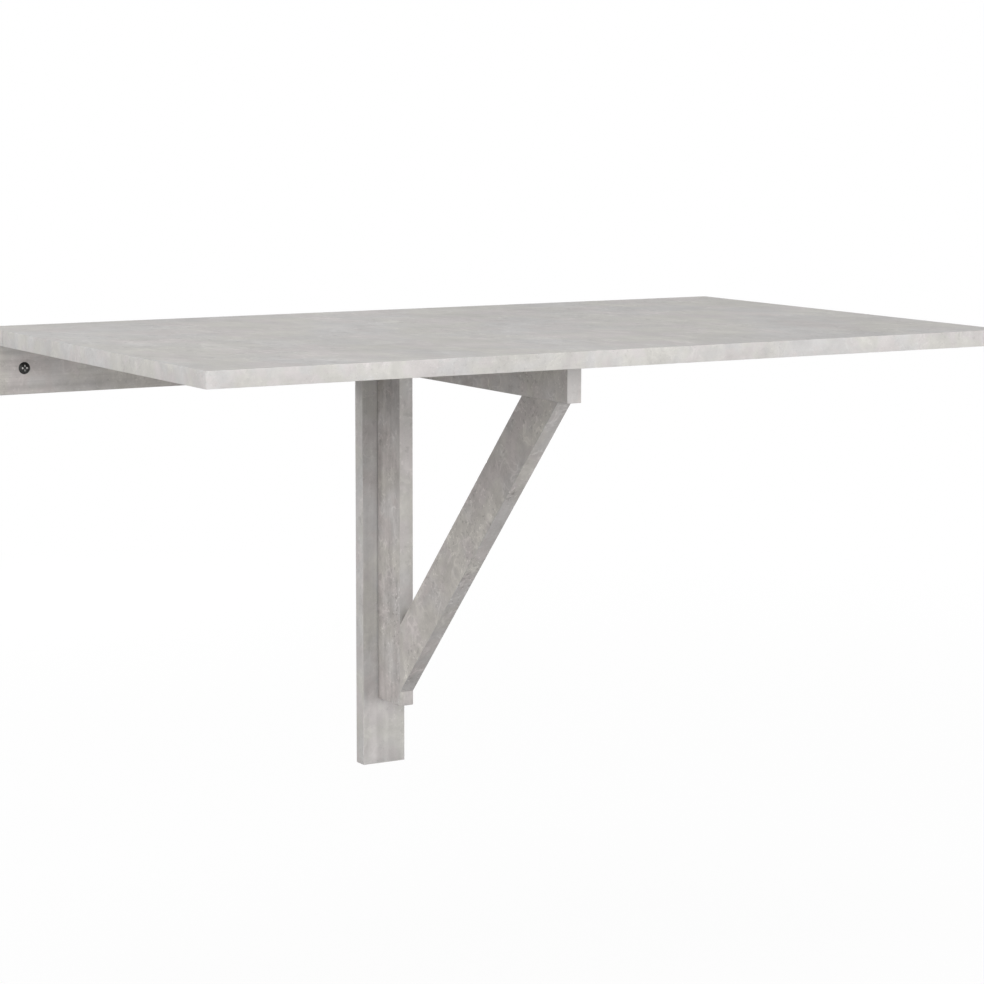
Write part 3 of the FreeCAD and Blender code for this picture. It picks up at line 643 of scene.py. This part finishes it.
floor_paint, floor_surface, ground = plain_finish("floor_paint")
floor_surface.inputs["Roughness"].default_value = 0.9
floor_surface.inputs["Specular IOR Level"].default_value = 0.0
seen = in_sight(ground)
ground.tint(seen, floor_grey, floor_white).into(floor_surface, "Base Color")
glow = ground.make("ShaderNodeEmission", None, {"Color": white, "Strength": 1.0})
from_table = ground.make("ShaderNodeVectorMath", {"operation": "LENGTH"}, {0: ground.spot()}, out="Value")
afar = ground.above(from_table, 1.0, 3.0)
both = ground.make("ShaderNodeMixShader", None, {
    0: (0.95 + 0.05 * afar) * seen, 1: Shade(floor_paint.node_tree, floor_surface.outputs[0]), 2: glow})
both.into(floor_paint.node_tree.nodes["Material Output"], "Surface")
dress(floor, floor_paint)

# Studio light: an even pale surround, which is white to the camera, and large soft lamps round the
# table and above it.
world = bpy.data.worlds.new("studio")
scene.world = world
world.use_nodes = True
sky = Shade(world.node_tree)
surround = world.node_tree.nodes["Background"]
surround.inputs["Color"].default_value = white
surround.inputs["Strength"].default_value = 0.2
backdrop = sky.make("ShaderNodeBackground", None, {"Color": white, "Strength": 1.0})
sky.make("ShaderNodeMixShader", None, {
    0: in_sight(sky), 1: Shade(world.node_tree, surround.outputs[0]), 2: backdrop}).into(
        world.node_tree.nodes["World Output"], "Surface")


def soft_lamp(name, bearing, height, power, reach=4.5, size=3.0):
    """A square lamp that looks at the table's middle from a bearing, round from the front to the right,
    and a height above the level, both in degrees, at a distance of reach.
    """
    turn, climb = radians(bearing), radians(height)
    away = Vector((sin(turn) * cos(climb), -cos(turn) * cos(climb), sin(climb)))
    lamp = bpy.data.lights.new(name, "AREA")
    lamp.shape = "SQUARE"
    lamp.size = size
    lamp.energy = power
    holder = bpy.data.objects.new(name, lamp)
    scene.collection.objects.link(holder)
    holder.location = (cad_box[0] + cad_box[1]) / 2 + reach * away
    holder.rotation_mode = "QUATERNION"
    holder.rotation_quaternion = (-away).to_track_quat("-Z", "Y")


soft_lamp("left_lamp", bearing=-68, height=18, power=60.0)
soft_lamp("rear_left_lamp", bearing=-122, height=23, power=55.0, size=2.0)
soft_lamp("front_lamp", bearing=-24, height=8, power=103.0)
soft_lamp("right_lamp", bearing=34, height=4, power=122.0)
soft_lamp("top_lamp", bearing=6, height=88, power=66.0)
soft_lamp("rear_lamp", bearing=170, height=-2, power=40.0, reach=3.5, size=0.6)

# Camera: where the photograph's straight edges put it, to the left of the table's front and a little
# above the top, looking 31 degrees to the right and 8 down.
camera_place = (-1.7013, -3.1804, 0.3244)
camera_turn = radians(30.555)
camera_dip = radians(7.917)
camera_roll = radians(0.114)
lens = bpy.data.cameras.new("camera")
lens.sensor_width = 36.0
lens.lens = 107.547
camera = bpy.data.objects.new("camera", lens)
scene.collection.objects.link(camera)
scene.camera = camera
camera.matrix_world = (Matrix.Translation(camera_place) @ Matrix.Rotation(-camera_turn, 4, "Z")
                       @ Matrix.Rotation(pi / 2 - camera_dip, 4, "X")
                       @ Matrix.Rotation(camera_roll, 4, "Z"))
scene.view_settings.view_transform = "Standard"
